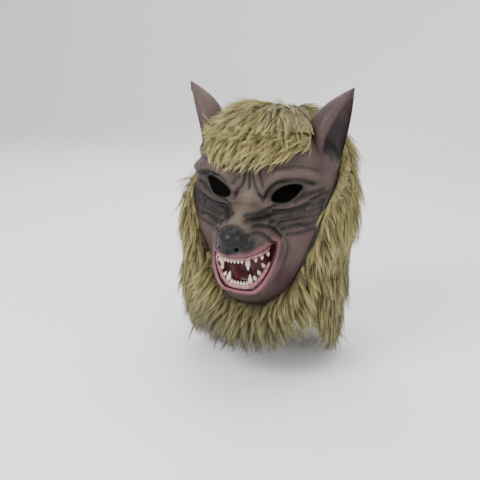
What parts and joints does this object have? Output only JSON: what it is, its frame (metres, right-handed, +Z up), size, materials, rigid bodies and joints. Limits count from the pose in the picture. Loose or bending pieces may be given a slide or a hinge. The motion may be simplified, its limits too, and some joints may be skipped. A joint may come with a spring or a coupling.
{
  "type": "werewolf head mask",
  "caption": "Full head mask of a snarling wolf monster: moulded rubber face with upright ears, open mouth with fangs, and a hood covered in long fur.",
  "frame": {"origin": "inside of the hood's crown, on the upright axis of the wearer's head", "axes": "+Z up, -Y the way the face looks, +X towards the mask's own left"},
  "size_m": [0.2699, 0.2882, 0.4097],
  "materials": {
    "face_rubber": "satin, painted",
    "lining_rubber": "satin",
    "gum_rubber": "gloss",
    "tooth_rubber": "gloss, painted",
    "knit": "matt knit",
    "fur": "long pile"
  },
  "bodies": {
    "root": {"latex_face": "face_rubber", "hood_crown": "knit", "hood_left": "knit", "hood_right": "knit", "mane_fur": "fur", "forelock_fur": "fur", "beard_fur": "fur", "mouth_lining": "lining_rubber", "upper_gum": "gum_rubber", "lower_gum": "gum_rubber", "upper_incisor_left_1": "tooth_rubber", "upper_incisor_left_2": "tooth_rubber", "upper_incisor_left_3": "tooth_rubber", "upper_incisor_right_1": "tooth_rubber", "upper_incisor_right_2": "tooth_rubber", "upper_incisor_right_3": "tooth_rubber", "upper_fang_left": "tooth_rubber", "upper_fang_right": "tooth_rubber", "upper_side_tooth_left_1": "tooth_rubber", "upper_side_tooth_left_2": "tooth_rubber", "upper_side_tooth_left_3": "tooth_rubber", "upper_side_tooth_right_1": "tooth_rubber", "upper_side_tooth_right_2": "tooth_rubber", "upper_side_tooth_right_3": "tooth_rubber", "lower_incisor_left_1": "tooth_rubber", "lower_incisor_left_2": "tooth_rubber", "lower_incisor_left_3": "tooth_rubber", "lower_incisor_right_1": "tooth_rubber", "lower_incisor_right_2": "tooth_rubber", "lower_incisor_right_3": "tooth_rubber", "lower_fang_left": "tooth_rubber", "lower_fang_right": "tooth_rubber", "lower_side_tooth_left_1": "tooth_rubber", "lower_side_tooth_left_2": "tooth_rubber", "lower_side_tooth_left_3": "tooth_rubber", "lower_side_tooth_right_1": "tooth_rubber", "lower_side_tooth_right_2": "tooth_rubber", "lower_side_tooth_right_3": "tooth_rubber"}
  },
  "joints": []
}
